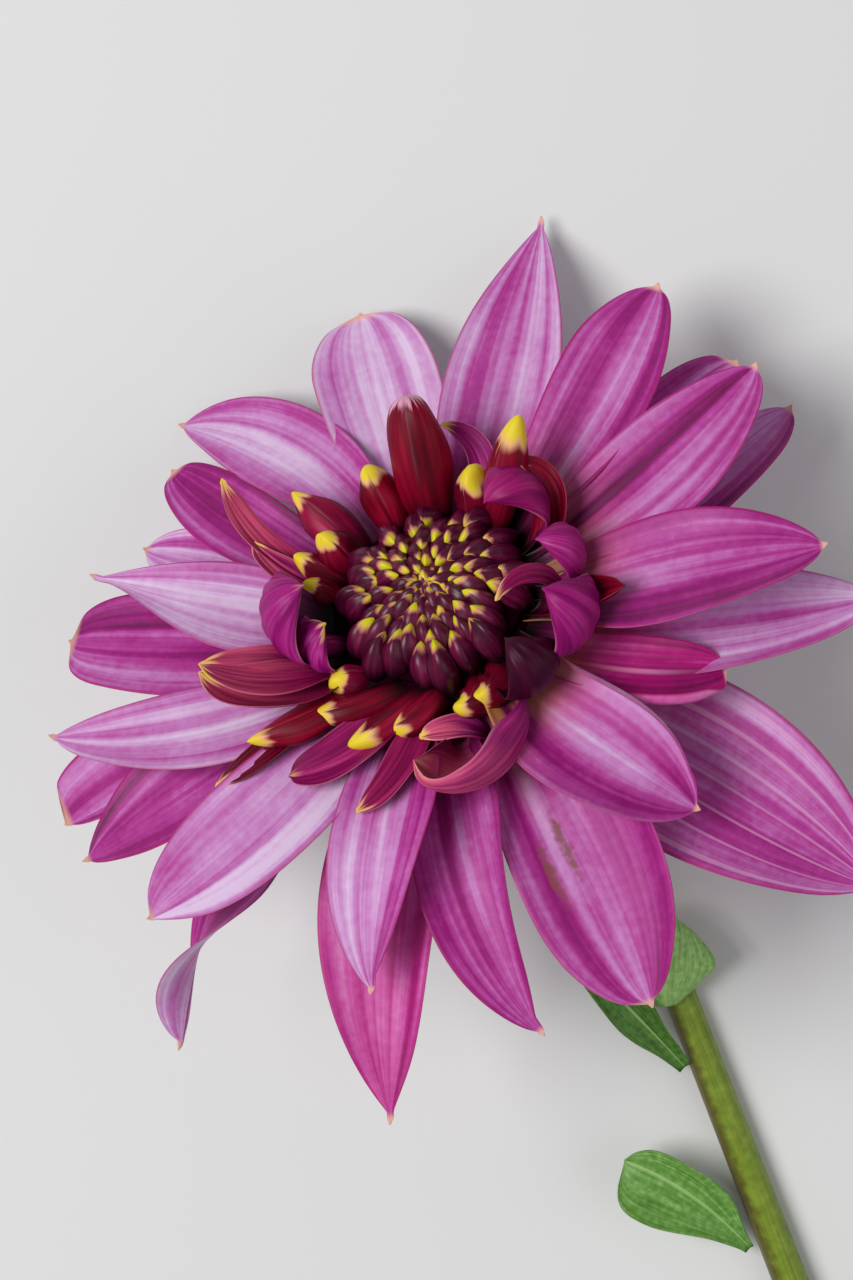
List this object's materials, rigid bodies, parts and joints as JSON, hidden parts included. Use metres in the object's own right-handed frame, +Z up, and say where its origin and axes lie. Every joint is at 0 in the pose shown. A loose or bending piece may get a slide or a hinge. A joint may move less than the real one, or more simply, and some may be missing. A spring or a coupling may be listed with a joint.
{
  "type": "dahlia flower",
  "caption": "Open magenta dahlia as picked: whorls of broad petals round a dark disc, with a bent green stem and small leaves, lying on a table.",
  "frame": {"origin": "on the table, under the middle of the box round the whole flower as it lies", "axes": "+Z up from the table, +Y from the cut end of the stem towards the bloom, +X to the right of that"},
  "size_m": [0.1181, 0.1824, 0.0553],
  "materials": {
    "disc": "waxy dark purple buds with yellow tips",
    "inner_floret": "silky crimson with yellow tips",
    "ray_petal": "soft satin magenta with pale streaks",
    "bract": "matte green",
    "stem": "satin yellow green",
    "leaf": "matte green with pale veins"
  },
  "bodies": {
    "root": {"disc_florets": "disc", "inner_florets": "inner_floret", "ray_petals": "ray_petal", "bract_cup": "bract", "stem": "stem", "upper_leaf": "leaf", "middle_leaf": "leaf", "lower_leaf": "leaf"}
  },
  "joints": []
}
